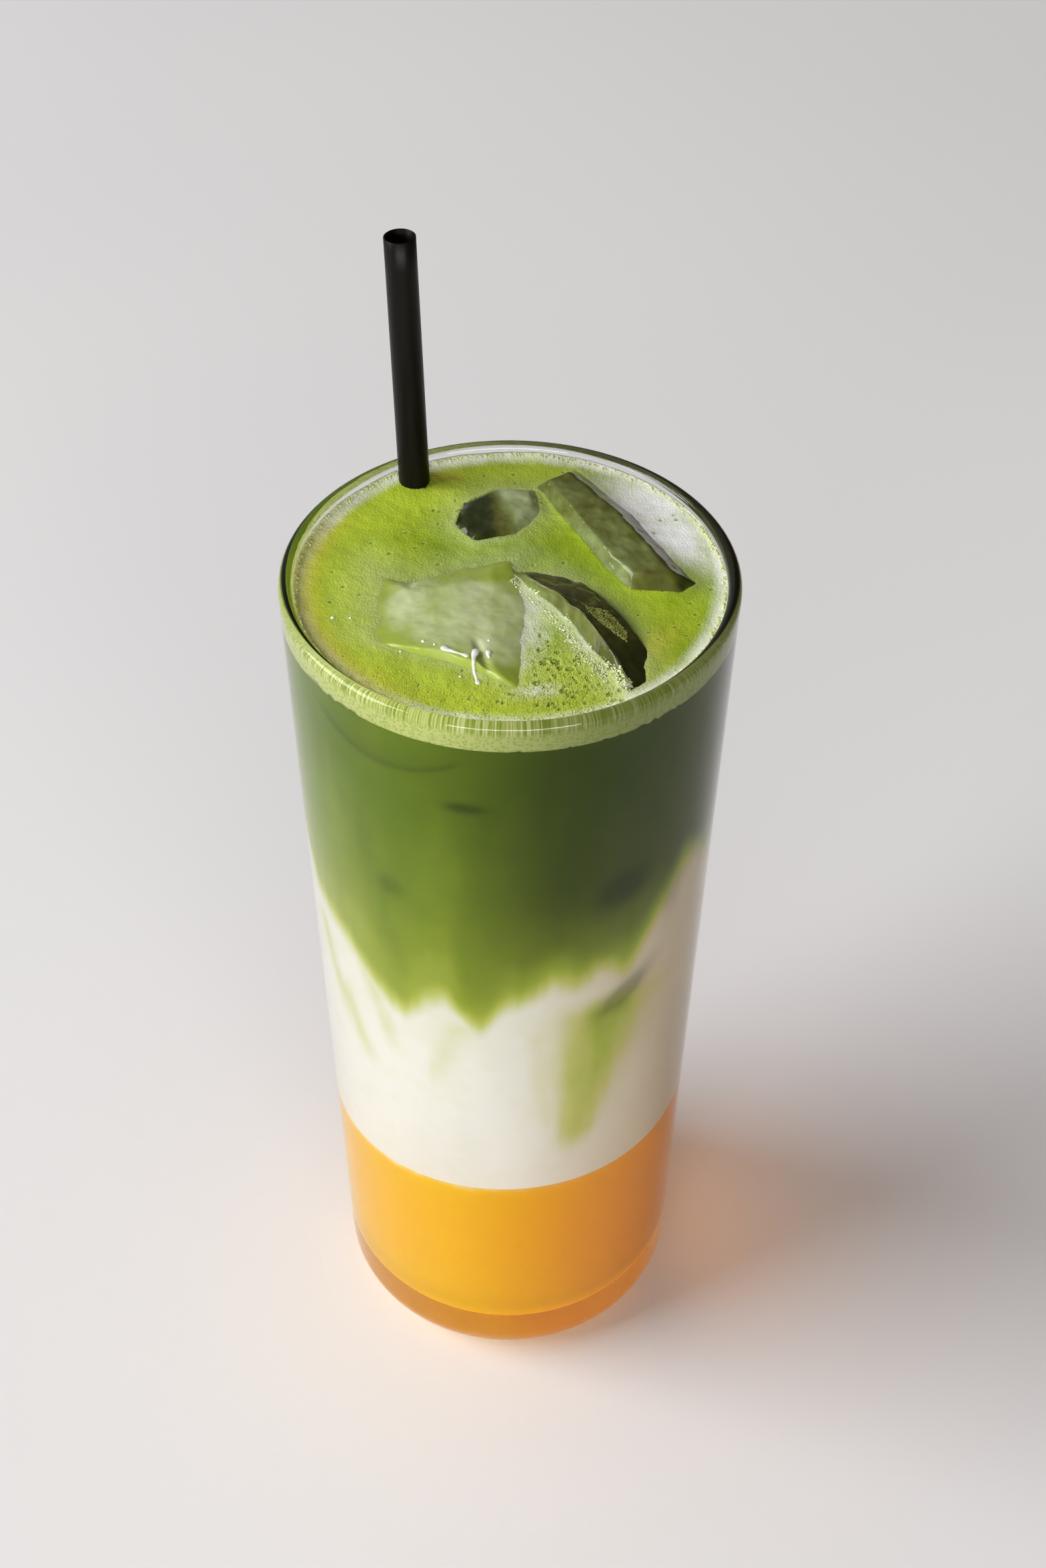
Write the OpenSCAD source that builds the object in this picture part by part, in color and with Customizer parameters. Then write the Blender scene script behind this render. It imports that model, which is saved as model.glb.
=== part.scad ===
// Iced matcha latte in a tall tumbler: mango at the bottom, then milk, matcha and foam,
// with ice breaking the surface and a straw. Millimetres, +Z up. The origin is on the
// glass's axis, in the plane that the glass stands on. Azimuths run from +X towards +Y.

/* [Glass] */
// Height of the glass
glass_h = 162.5; // [135:0.5:196]
// Outside diameter at the rim
rim_d = 70; // [66:0.5:84]
// Outside diameter just above the rounded heel
base_d = 60; // [50:0.5:68]
// Wall thickness at the rim
rim_wall = 2.1; // [1.6:0.1:2.8]
// Wall thickness just above the floor
low_wall = 2.6; // [2:0.1:4]
// Radius of the rounded heel outside
heel_r = 8; // [4:0.5:10]
// Thickness of the glass floor
floor_t = 7; // [4:0.5:12]
// Radius of the fillet between floor and wall inside
floor_r = 12; // [6:0.5:15]

/* [Drink] */
// Height of the mango layer above the glass floor
mango_h = 45.5; // [35:0.5:56]
// Height of the milk's mean top above the glass floor
milk_h = 103; // [85:0.5:110]
// How far the matcha's longest tongues hang below that
tongue_h = 11; // [4:0.5:14]
// How much higher the milk climbs on one side than on the other
milk_lean = 9; // [0:0.5:12]
// Azimuth at which the milk climbs highest
milk_side = 205; // [0:5:355]
// Thickness of the foam at the wall
foam_h = 4; // [2.5:0.1:6]
// Free height from the foam up to the rim
head_gap = 1.8; // [1:0.1:3.5]
// Height of the foam's swells
swell_h = 0.5; // [0:0.1:0.8]

/* [Straw] */
// Length of the straw
straw_len = 193; // [170:1:235]
// Outside diameter of the straw
straw_d = 4.9; // [4:0.1:6.5]
// Wall thickness of the straw
straw_wall = 0.3; // [0.2:0.05:0.6]
// Azimuth of the spot where the straw leans on the rim
straw_side = 121; // [90:1:150]
// Distance of the straw's foot from the glass's axis
straw_foot = 21.5; // [10:0.5:22]

/* [Ice] */
// Front left piece: length, width, depth
slab_ice = [30, 20.5, 16]; // [8:0.5:36]
// Front right piece: length, width, depth
ridge_ice = [32, 11, 11]; // [8:0.5:36]
// Rear right piece: length, width, depth
bar_ice = [33, 11.5, 17]; // [8:0.5:36]
// Rear centre piece: length, width, depth
chip_ice = [15, 11, 15]; // [6:0.5:20]
// Radius of the melted edges
ice_round = 2; // [1:0.1:3]
// How much thinner each piece has melted at its two ends, all round
ice_melt = 0.8; // [0:0.1:2]

// Distance of the rear right piece's outer side from the wall, across the swirl
bar_shore = 7.7; // [5:0.1:14]
// Distance of the front right piece's far end from the wall
ridge_shore = 1.5; // [1:0.1:8]
// Open water between neighbouring pieces, across the swirl
ice_space = 1; // [0.5:0.1:3]
// Open water between the straw and the rear centre piece, along the swirl
chip_shore = 4.6; // [3:0.1:8]

/* [Fits] */
// Gap between the drink and the glass
wall_gap = 0.1; // [0.02:0.01:0.2]
// Gap between the straw and the rim or the floor
straw_seat = 0.3; // [0.1:0.05:0.5]
// Gap between the straw and the drink around it
straw_gap = 0.05; // [0.02:0.01:0.2]
// Gap between a piece of ice and the drink around it
ice_gap = 0.05; // [0.02:0.01:0.2]

/* [Hidden] */

// Levels
foam_z = glass_h - head_gap;
foam_floor = foam_z - foam_h;
mango_z = floor_t + mango_h;
milk_z = floor_t + milk_h;
over_z = glass_h + 10;

// The inside wall is a cone from low_wall, above the floor, to rim_wall at the rim
rim_r = rim_d / 2;
base_r = base_d / 2;
draft = (rim_r - base_r) / (glass_h - heel_r);
inner_top = rim_r - rim_wall;
inner_low = base_r + draft * (floor_t + floor_r - heel_r) - low_wall;
inner_slope = (inner_top - inner_low) / (glass_h - floor_t - floor_r);
function inner_r(z) = inner_top - (glass_h - z) * inner_slope;
// Where the fillet circle touches the cone inside
inner_tilt = atan(inner_slope);
fillet_x = inner_low - floor_r / cos(inner_tilt);
outer_tilt = atan(draft);
heel_x = base_r - heel_r / cos(outer_tilt);
lip_r = rim_wall / 2;

// Straw: its foot sits on the fillet above the floor, and it leans out onto the rim
rim_reach = inner_top - straw_d / 2 - straw_seat;
foot_out = max(0, straw_foot + straw_d / 2 - fillet_x);
seat_z = floor_t + floor_r - sqrt(pow(floor_r - straw_seat, 2) - foot_out * foot_out);
straw_lean = atan((rim_reach - straw_foot) / (glass_h - seat_z));
straw_z = seat_z + straw_d / 2 * sin(straw_lean);

// Ice: the pieces lie side by side along one swirl, counted inwards from the wall. A place
// is [along, across] from the axis.
swirl_turn = -54;
ridge_roll = -40;
ridge_half = (ridge_ice[1] * cos(ridge_roll) - ridge_ice[2] * sin(ridge_roll)) / 2;
bar_across = inner_top - bar_shore - bar_ice[1] / 2;
ridge_across = bar_across - bar_ice[1] / 2 - ice_space - ridge_half;
ridge_reach = inner_r(foam_z - ridge_ice[2]);
ridge_along = sqrt(pow(ridge_reach, 2) - pow(ridge_across, 2)) - ridge_shore - ridge_ice[0] / 2;
slab_across = ridge_across - ridge_half - ice_space - slab_ice[1] / 2;
chip_across = bar_across - bar_ice[1] / 2 - 2 * ice_space - chip_ice[1] / 2;
chip_along = rim_reach * cos(straw_side - swirl_turn) + straw_d / 2 + chip_shore + chip_ice[0] / 2;
// Fields: size, place, turn from the swirl, roll, how far it stands out of the foam
slab = [slab_ice, [0.5, slab_across], 5, 4, 1.9];
ridge = [ridge_ice, [ridge_along, ridge_across], 0, ridge_roll, 3.8];
bar = [bar_ice, [-0.5, bar_across], 0, -8, 2.8];
chip = [chip_ice, [chip_along, chip_across], -3, 5, 1.2];
// Half the height of a piece once it is rolled
function half_height(piece) = (piece[0][1] * abs(sin(piece[3])) + piece[0][2] * cos(piece[3])) / 2;

// Height of the mango at radius r and azimuth a: a low swell
function mango_top(r, a) = mango_z + 0.8 * (r / rim_r) * sin(2 * a + 40) + 0.4 * cos(3 * a);

// Height of the milk: it climbs on one side, and tongues of matcha hang into it at the wall
function tongue(a) = pow(abs(cos(4.5 * a - 25)), 3) * (0.6 + 0.4 * cos(a + 75));
function milk_top(r, a) =
    milk_z + (r / rim_r) * milk_lean * cos(a - milk_side)
    - tongue_h * pow(min(r / inner_r(milk_z), 1), 2) * tongue(a);

// Height of the foam: gentle swells
function foam_top(r, a) = foam_z + swell_h * (r / rim_r) * sin(3 * a + 20) * cos(8 * r);

// Points of an arc round [cx, cy], both ends included
function arc(cx, cy, r, from, to, steps = 12) =
    [for (i = [0:steps]) let(t = from + (to - from) * i / steps) [cx + r * cos(t), cy + r * sin(t)]];

// A closed block between a flat face at flat_z and a wavy face that follows height(r, a)
module field_block(height, flat_z, sectors, rings) {
    reach = rim_r + 3;
    function spot(r, j, z) = [r * cos(360 * j / sectors), r * sin(360 * j / sectors), z];
    function k(i, j) = 1 + (i - 1) * sectors + j % sectors;
    wave = [
        [0, 0, height(0, 0)],
        for (i = [1:rings], j = [0:sectors - 1])
            spot(reach * i / rings, j, height(reach * i / rings, 360 * j / sectors))
    ];
    flat = [for (j = [0:sectors - 1]) spot(reach, j, flat_z)];
    f = len(wave);
    fan = [for (j = [0:sectors - 1]) [0, k(1, j + 1), k(1, j)]];
    bands = [
        for (i = [1:rings - 1], j = [0:sectors - 1], side = [0, 1])
            side == 0 ? [k(i, j), k(i, j + 1), k(i + 1, j)] : [k(i, j + 1), k(i + 1, j + 1), k(i + 1, j)]
    ];
    skirt = [
        for (j = [0:sectors - 1], side = [0, 1])
            let(next = f + (j + 1) % sectors)
            side == 0 ? [k(rings, j), k(rings, j + 1), f + j] : [k(rings, j + 1), next, f + j]
    ];
    cap = [[for (j = [0:sectors - 1]) f + j]];
    faces = concat(fan, bands, skirt, cap);
    turned = [for (face = faces) [for (i = [len(face) - 1:-1:0]) face[i]]];
    polyhedron(concat(wave, flat), height(0, 0) > flat_z ? faces : turned);
}

// Everything inside the glass, held off its inner wall by gap
module inside(gap) {
    rotate_extrude($fn = 96)
        polygon(concat(
            [[0, floor_t + gap]],
            arc(fillet_x, floor_t + floor_r, floor_r - gap, -90, -inner_tilt),
            [[inner_r(over_z) - gap, over_z], [0, over_z]]));
}

// The flat slice of space between two levels
module between(low, high) {
    translate([0, 0, low]) cylinder(h = high - low, r = rim_r + 2, $fn = 96);
}

module straw_rod(d, below = 0) {
    rotate([0, 0, straw_side])
        translate([straw_foot, 0, straw_z])
            rotate([0, straw_lean, 0])
                translate([0, 0, -below]) cylinder(h = straw_len + 2 * below, d = d, $fn = 32);
}

// A melted block: rounded edges, and thinner towards both ends
module ice_block(size, grow) {
    r = ice_round + grow;
    half = [for (s = size) s / 2 + grow - r];
    hull()
        for (x = [-1, 0, 1], y = [-1, 1], z = [-1, 1])
            translate([x * half[0], y * (half[1] - abs(x) * ice_melt), z * (half[2] - abs(x) * ice_melt)])
                sphere(r, $fn = 18);
}

module ice_piece(piece, grow = 0) {
    place = piece[1];
    rotate([0, 0, swirl_turn])
        translate([place[0], place[1], foam_z + piece[4] - half_height(piece)])
            rotate([piece[3], 0, piece[2]])
                ice_block(piece[0], grow);
}

// Room for the straw and the ice in whatever they stand in
module sunk() {
    straw_rod(straw_d + 2 * straw_gap, 1);
    for (piece = [slab, ridge, bar, chip])
        ice_piece(piece, ice_gap);
}

module glass() {
    color("#dfe6e2", 0.35)
        rotate_extrude($fn = 96)
            polygon(concat(
                [[0, 0]],
                arc(heel_x, heel_r, heel_r, -90, -outer_tilt),
                arc(rim_r - lip_r, glass_h - lip_r, lip_r, 0, 180),
                arc(fillet_x, floor_t + floor_r, floor_r, -inner_tilt, -90),
                [[0, floor_t]]));
}

module mango() {
    color("#ecad00")
        difference() {
            intersection() {
                inside(wall_gap);
                field_block(function(r, a) mango_top(r, a), -1, 36, 3);
            }
            straw_rod(straw_d + 2 * straw_gap, 1);
        }
}

module milk() {
    color("#eae4d8")
        difference() {
            intersection() {
                inside(wall_gap);
                field_block(function(r, a) mango_top(r, a), over_z, 36, 3);
                field_block(function(r, a) milk_top(r, a), -1, 72, 4);
            }
            straw_rod(straw_d + 2 * straw_gap, 1);
        }
}

module matcha() {
    color("#65792e")
        difference() {
            intersection() {
                inside(wall_gap);
                field_block(function(r, a) milk_top(r, a), over_z, 72, 4);
                between(floor_t, foam_floor);
            }
            sunk();
        }
}

module foam() {
    color("#a2b332")
        difference() {
            intersection() {
                inside(wall_gap);
                field_block(function(r, a) foam_top(r, a), -1, 48, 4);
                between(foam_floor, over_z);
            }
            sunk();
        }
}

module straw() {
    color("#19160f")
        difference() {
            straw_rod(straw_d);
            straw_rod(straw_d - 2 * straw_wall, 1);
        }
}

module ice_front_left() { color("#b0b989", 0.8) ice_piece(slab); }
module ice_front_right() { color("#5e6737", 0.8) ice_piece(ridge); }
module ice_rear_right() { color("#6a6a2d", 0.8) ice_piece(bar); }
module ice_rear_centre() { color("#3a4420", 0.8) ice_piece(chip); }

glass();
mango();
milk();
matcha();
foam();
straw();
ice_front_left();
ice_front_right();
ice_rear_right();
ice_rear_centre();
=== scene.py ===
import math

import bmesh
import bpy
import numpy as np
from mathutils import Matrix, Vector
from mathutils.bvhtree import BVHTree


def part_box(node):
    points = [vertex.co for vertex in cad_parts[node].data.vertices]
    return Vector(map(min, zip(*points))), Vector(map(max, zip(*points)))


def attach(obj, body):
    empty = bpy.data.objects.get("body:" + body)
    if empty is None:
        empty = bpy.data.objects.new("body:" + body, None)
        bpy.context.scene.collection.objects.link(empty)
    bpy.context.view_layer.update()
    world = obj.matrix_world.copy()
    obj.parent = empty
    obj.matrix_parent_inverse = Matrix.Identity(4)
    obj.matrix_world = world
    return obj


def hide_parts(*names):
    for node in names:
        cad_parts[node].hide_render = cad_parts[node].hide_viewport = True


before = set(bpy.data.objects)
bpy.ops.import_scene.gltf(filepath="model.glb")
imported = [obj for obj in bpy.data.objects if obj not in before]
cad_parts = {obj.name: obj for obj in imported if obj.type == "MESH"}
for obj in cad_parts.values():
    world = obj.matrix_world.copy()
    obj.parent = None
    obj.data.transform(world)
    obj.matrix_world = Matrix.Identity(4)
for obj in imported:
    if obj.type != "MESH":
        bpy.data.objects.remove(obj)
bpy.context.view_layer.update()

mm = 0.001
print("frame loaded:", len(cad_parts), "nodes")


# small helpers

def linearColour(hexCode):
    # sRGB hex to the linear numbers that shaders take
    parts = [int(hexCode[i:i + 2], 16) / 255 for i in (1, 3, 5)]
    return [p / 12.92 if p <= 0.04045 else ((p + 0.055) / 1.055) ** 2.4 for p in parts] + [1]


def addLinks(tree, node, links):
    # each source is a socket, or a node that gives its first output
    for key, source in links.items():
        tree.links.new(getattr(source, "outputs", [source])[0], node.inputs[key])


def addNode(tree, kind, settings=None, values=None, links=None):
    # one node, with its settings, its socket values and what feeds its sockets
    node = tree.nodes.new("ShaderNode" + kind)
    for key, value in (settings or {}).items():
        setattr(node, key, value)
    for key, value in (values or {}).items():
        node.inputs[key].default_value = value
    addLinks(tree, node, links or {})
    return node


def newMaterial(name, values):
    # a material with its shader's fixed values, its output and the piece's own coordinates
    material = bpy.data.materials.new(name)
    material.use_nodes = True
    tree = material.node_tree
    tree.nodes.clear()
    shader = addNode(tree, "BsdfPrincipled", values=values)
    addNode(tree, "OutputMaterial", links={"Surface": shader})
    return material, tree, shader, addNode(tree, "TexCoord").outputs["Object"]


def setStops(ramp, stops):
    # stops is a list of (position, hex)
    elements = ramp.color_ramp.elements
    while len(elements) < len(stops):
        elements.new(0.5)
    for element, (position, hexCode) in zip(elements, stops):
        element.position = position
        element.color = linearColour(hexCode)


def mottled(name, values, scale, stops):
    # a material whose colour wanders slowly between its stops
    material, tree, shader, place = newMaterial(name, values)
    cloud = addNode(tree, "TexNoise", values={"Scale": scale, "Detail": 1.0}, links={"Vector": place})
    tone = addNode(tree, "ValToRGB", links={"Fac": cloud})
    setStops(tone, stops)
    addLinks(tree, shader, {"Base Color": tone})
    return material


def tintBy(tree, under, attribute, hexCode, strength=1.0):
    # lays a colour over another as far as a point attribute says
    amount = addNode(tree, "Attribute", {"attribute_name": attribute}).outputs["Fac"]
    part = addNode(tree, "Math", {"operation": "MULTIPLY"}, {1: strength}, {0: amount})
    mix = addNode(tree, "Mix", {"data_type": "RGBA"}, {7: linearColour(hexCode)}, {0: part, 6: under})
    return mix.outputs[2]


def rampBy(tree, attribute, noise, sway, stops):
    # colours picked by a point attribute, which noise moves up and down a little
    amount = addNode(tree, "Attribute", {"attribute_name": attribute}).outputs["Fac"]
    shift = addNode(tree, "MapRange", links={"Value": noise},
                    values={"From Min": 0.3, "From Max": 0.7, "To Min": -sway, "To Max": sway})
    total = addNode(tree, "Math", {"operation": "ADD"}, links={0: amount, 1: shift})
    ramp = addNode(tree, "ValToRGB", links={"Fac": total})
    setStops(ramp, stops)
    return ramp


def boxOf(node):
    # a node's lowest and highest corner in millimetres
    low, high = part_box(node)
    return np.array(low) / mm, np.array(high) / mm


def noise3(points, seed=0):
    # smooth value noise between -1 and 1, one value for each point
    cell = np.floor(points).astype(np.int64)
    part = points - cell
    part = part * part * (3 - 2 * part)
    total = np.zeros(len(points))
    for corner in np.ndindex(2, 2, 2):
        # large odd numbers scramble each corner's place into a random height
        key = ((cell + corner) @ np.array([374761393, 668265263, 2147483647]) + seed * 974634777) & 0xffffffff
        key = ((key ^ (key >> 13)) * 1274126177) & 0xffffffff
        key = (key ^ (key >> 16)) & 0xffff
        total += np.where(corner, part, 1 - part).prod(axis=1) * key / 0xffff
    return total * 2 - 1


def roughNoise(points, octaves=3, seed=0):
    total = np.zeros(len(points))
    for octave in range(octaves):
        total += noise3(points * 2 ** octave, seed + octave) / 2 ** octave
    return total


def smooth(low, high, value):
    t = np.clip((value - low) / (high - low), 0, 1)
    return t * t * (3 - 2 * t)


def columns(*parts):
    # one row for each point, from its coordinates
    return np.stack(np.broadcast_arrays(*parts), axis=-1)


def spot(x, y, centre, size, turn=0):
    # a soft oval, 1 in its middle; turn in degrees
    c, s = math.cos(math.radians(turn)), math.sin(math.radians(turn))
    u = ((x - centre[0]) * c + (y - centre[1]) * s) / size[0]
    v = (-(x - centre[0]) * s + (y - centre[1]) * c) / size[1]
    return np.exp(-(u * u + v * v))


def addPiece(name, points, faces, materials):
    # points in millimetres
    mesh = bpy.data.meshes.new(name)
    mesh.from_pydata((np.asarray(points) * mm).tolist(), [], [list(map(int, f)) for f in faces])
    mesh.update()
    piece = bpy.data.objects.new(name, mesh)
    bpy.context.scene.collection.objects.link(piece)
    for material in materials:
        mesh.materials.append(material)
    mesh.polygons.foreach_set("use_smooth", [True] * len(mesh.polygons))
    return piece


def pointsOf(piece):
    flat = np.zeros(len(piece.data.vertices) * 3)
    piece.data.vertices.foreach_get("co", flat)
    return flat.reshape(-1, 3) / mm


def setPoints(piece, points):
    piece.data.vertices.foreach_set("co", (points * mm).ravel())
    piece.data.update()


def normalsOf(piece):
    flat = np.zeros(len(piece.data.vertices) * 3)
    piece.data.vertices.foreach_get("normal", flat)
    return flat.reshape(-1, 3)


def setValues(piece, name, values):
    layer = piece.data.attributes.new(name, "FLOAT", "POINT")
    layer.data.foreach_set("value", np.asarray(values, dtype=np.float32))


def loftRings(rings, startPole=None, endPole=None, closed=False):
    # joins rings of equal length into a skin; poles close its ends
    count = len(rings[0])
    points = [p for ring in rings for p in ring]
    turn = [(j, (j + 1) % count) for j in range(count)]
    faces = []
    for i in range(len(rings) if closed else len(rings) - 1):
        a, b = i * count, (i + 1) % len(rings) * count
        faces += [(a + j, a + k, b + k, b + j) for j, k in turn]
    if startPole is not None:
        faces += [(len(points), k, j) for j, k in turn]
        points.append(startPole)
    if endPole is not None:
        base = (len(rings) - 1) * count
        faces += [(len(points), base + j, base + k) for j, k in turn]
        points.append(endPole)
    return np.array(points), faces


def straightRun(start, end, steps):
    # even places between two points, without the points themselves
    return [tuple(p) for p in np.linspace(start, end, steps + 1)[1:-1]]


def arcPoints(centre, radius, start, end, steps):
    angles = np.radians(np.linspace(start, end, steps + 1))
    return [(centre[0] + radius * math.cos(a), centre[1] + radius * math.sin(a)) for a in angles]


def faceOutwards(piece):
    work = bmesh.new()
    work.from_mesh(piece.data)
    bmesh.ops.recalc_face_normals(work, faces=work.faces)
    work.to_mesh(piece.data)
    work.free()


def cutWith(piece, cutters):
    # takes the cutters out of a piece and swaps its mesh for the result
    for cutter in cutters:
        modifier = piece.modifiers.new("cut", "BOOLEAN")
        modifier.operation = "DIFFERENCE"
        modifier.solver = "MANIFOLD"
        modifier.object = cutter
    bpy.context.view_layer.update()
    graph = bpy.context.evaluated_depsgraph_get()
    result = bpy.data.meshes.new_from_object(piece.evaluated_get(graph))
    old = piece.data
    piece.modifiers.clear()
    piece.data = result
    bpy.data.meshes.remove(old)


# sizes of the glass, from the frame

tumbler = {
    "lipThickness": 2.1,
    "lowWall": 2.6,
    "baseRadius": 30,
    "heelRadius": 8,
    "filletRadius": 12,
    "puntDepth": 0.6,
    "puntRadius": 19,
    "wallGap": 0.1,
    "headGap": 1.8,  # from the rim down to the froth
    "reach": 0.12,  # how far the drink goes into the wall, so that no air shows between them
    "segments": 288,
    "rows": 46,
}

rimRadius, _, rimHeight = boxOf("glass")[1]
mangoLow, mangoHigh = boxOf("mango")
floorZ = mangoLow[2] - tumbler["wallGap"]
frothFloor = boxOf("foam")[0][2]
frothZ = rimHeight - tumbler["headGap"]

draft = (rimRadius - tumbler["baseRadius"]) / (rimHeight - tumbler["heelRadius"])
innerTop = rimRadius - tumbler["lipThickness"]
filletZ = floorZ + tumbler["filletRadius"]
innerLow = tumbler["baseRadius"] + draft * (filletZ - tumbler["heelRadius"]) - tumbler["lowWall"]
innerSlope = (innerTop - innerLow) / (rimHeight - filletZ)
outerTilt = math.degrees(math.atan(draft))
innerTilt = math.degrees(math.atan(innerSlope))
filletX = innerLow - tumbler["filletRadius"] / math.cos(math.radians(innerTilt))


def innerRadius(z):
    return innerTop - (rimHeight - z) * innerSlope


def wallPoint(azimuth, z, radius):
    # azimuth in degrees from the front, growing to the right
    a = np.radians(azimuth)
    return columns(radius * np.sin(a), -radius * np.cos(a), z)


# the tumbler

def pressedGlass(name, specularTint):
    # soda-lime glass, pressed and fire polished: clear, with a faint grey-green depth and
    # long soft ripples that bend what is seen through it
    material, tree, shader, place = newMaterial(name, {"Base Color": linearColour("#F7FAF7"),
            "Roughness": 0.0, "IOR": 1.5, "Transmission Weight": 1.0, "Specular Tint": specularTint})
    stretch = addNode(tree, "Mapping", values={"Scale": (1, 1, 0.25)}, links={"Vector": place})
    ripple = addNode(tree, "TexNoise", values={"Scale": 1 / (14 * mm), "Detail": 1.0},
            links={"Vector": stretch})
    bump = addNode(tree, "Bump", values={"Strength": 0.15, "Distance": 0.12 * mm}, links={"Height": ripple})
    addLinks(tree, shader, {"Normal": bump})
    return material


def makeTumbler():
    t = tumbler
    lipRadius = t["lipThickness"] / 2
    heelX = t["baseRadius"] - t["heelRadius"] / math.cos(math.radians(outerTilt))
    profile = [(t["puntRadius"] * f, t["puntDepth"] * (1 - f ** 4)) for f in np.linspace(0.1, 1, 9)]
    profile += arcPoints((heelX, t["heelRadius"]), t["heelRadius"], -90, -outerTilt, 16)
    lipCentre = (rimRadius - lipRadius, rimHeight - lipRadius)
    lip = arcPoints(lipCentre, lipRadius, -outerTilt, 180 - innerTilt, 20)
    fillet = arcPoints((filletX, filletZ), t["filletRadius"], -innerTilt, -90, 18)
    profile += straightRun(profile[-1], lip[0], t["rows"]) + lip
    profile += straightRun(lip[-1], fillet[0], t["rows"]) + fillet
    profile += [(filletX * f, floorZ) for f in (0.7, 0.35, 0.1)]
    azimuths = np.linspace(0, 360, t["segments"], endpoint=False)
    rings = [wallPoint(azimuths, z, r) for r, z in profile]
    points, faces = loftRings(rings, startPole=(0, 0, t["puntDepth"]), endPole=(0, 0, floorZ))
    wall = pressedGlass("soda-lime glass, pressed", (0.08, 0.08, 0.08, 1))
    lipGlass = pressedGlass("soda-lime glass, fire polished lip", (1, 1, 1, 1))
    piece = addPiece("tumbler", points, faces, [wall, lipGlass])
    for polygon in piece.data.polygons:
        polygon.material_index = int(polygon.center.z > (rimHeight - t["lipThickness"]) * mm)
    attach(piece, "root")
    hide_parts("glass")


makeTumbler()
print("tumbler made")


# mango, milk and matcha

drink = {
    "segments": 360,
    "mangoTilt": 1.6,
    "mangoSwell": 0.35,
    "mangoBlend": 1.1,
    "lap": 0.4,
    "lapStep": 0.01,
    "paintedUnderGlow": 0.3,
    "warmShadeStrength": 0.55,
    "capRings": 5,
    # dark places on the tea: (azimuth, height), (half width, half height), turn, strength
    "iceSpots": [((-10.7, 144.6), (5, 0.9), 0, 0.6), ((-33.3, 123), (4, 1.8), 0, 0.3),
                 ((33, 123), (8, 3.2), 6, 0.7), ((36, 97.5), (9, 2.6), 18, 0.5),
                 ((42.6, 148.2), (0.8, 0.5), 0, 0.5), ((52, 117), (4, 6), 0, 0.25)],
    # thin strands of tea in the milk: top, foot, thickness, strength
    "strands": [((-68, 100), (-50, 77), 4.6, 0.2), ((-44, 98), (-37, 84), 3.6, 0.14),
                ((-13, 94), (-22, 80), 4.4, 0.13), ((8, 92), (13, 68), 4.0, 0.1)],
    # (azimuth, height) of the line where matcha gives way to milk
    "meeting": [(-180, 104), (-150, 98), (-122, 108), (-98, 121), (-84, 119), (-64, 105), (-50, 101),
                (-39, 96), (-31, 93.5), (-25, 98), (-19, 100), (-12, 95.5), (-7, 94), (-2, 100.5),
                (6, 103.5), (14, 107), (21, 104), (31, 104), (39, 104.5), (46, 111), (56, 119),
                (68, 114), (90, 108), (120, 101), (150, 99), (180, 104)],
}


def meetingHeight(azimuth):
    line = np.array(drink["meeting"], dtype=float)
    wrapped = (np.asarray(azimuth) + 180) % 360 - 180
    fine = np.linspace(-180, 180, 721)
    height = np.interp(fine, line[:, 0], line[:, 1])
    window = np.hanning(19)
    wrappedHeight = np.concatenate([height[-13:-1], height, height[1:13]])
    soft = np.convolve(wrappedHeight, window / window.sum(), "same")[12:-12]
    return np.interp(wrapped, fine, soft)


def mangoHeight(azimuth):
    a = np.radians(azimuth)
    top = mangoHigh[2] - drink["mangoTilt"] - drink["mangoSwell"]
    return top + drink["mangoTilt"] * np.sin(a) + drink["mangoSwell"] * np.cos(3 * a + 0.6)


def azimuthOf(points):
    # degrees from the front, growing to the right
    return np.degrees(np.arctan2(points[..., 0], -points[..., 1]))


def teaShare(points):
    # 0 is plain milk and 1 is strong matcha, from the flow of one into the other
    azimuth = azimuthOf(points)
    z = points[:, 2]
    drift = roughNoise(columns(azimuth / 9, z / 26, 0), 3, 11)
    fine = roughNoise(columns(azimuth / 3.2, z / 14, 0), 3, 23)
    edge = z - meetingHeight(azimuth + 1.2 * drift) + 1.5 * drift + 0.5 * fine
    share = 0.62 * smooth(-4.2, 4.6, edge) + 0.2 * smooth(3, 26, edge) + 0.18 * smooth(20, 52, edge)
    share += 0.05 * drift * smooth(0, 10, edge)
    # a flame of green that hangs into the milk on the right
    f = np.clip((z - 60) / 34, 0, 1)
    centre = 21 + 11 * f ** 1.2 + 1.6 * drift
    width = 3.2 + 12 * f ** 0.9
    flame = np.exp(-((azimuth - centre) / width) ** 2) * smooth(57, 66, z) * (1 - smooth(94, 101, z))
    share = np.maximum(share, flame * (0.3 + 0.26 * f + 0.05 * fine))
    for top, foot, thick, strength in drink["strands"]:
        g = np.clip((top[1] - z) / (top[1] - foot[1]), 0, 1)
        line = top[0] + (foot[0] - top[0]) * g + 2.2 * drift
        strand = np.exp(-((azimuth - line) / thick) ** 2) * smooth(foot[1] - 5, foot[1] + 4, z)
        share = np.maximum(share, strand * strength * (1 - smooth(top[1] - 1, top[1] + 5, z)))
    return np.clip(share, 0, 1)


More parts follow.
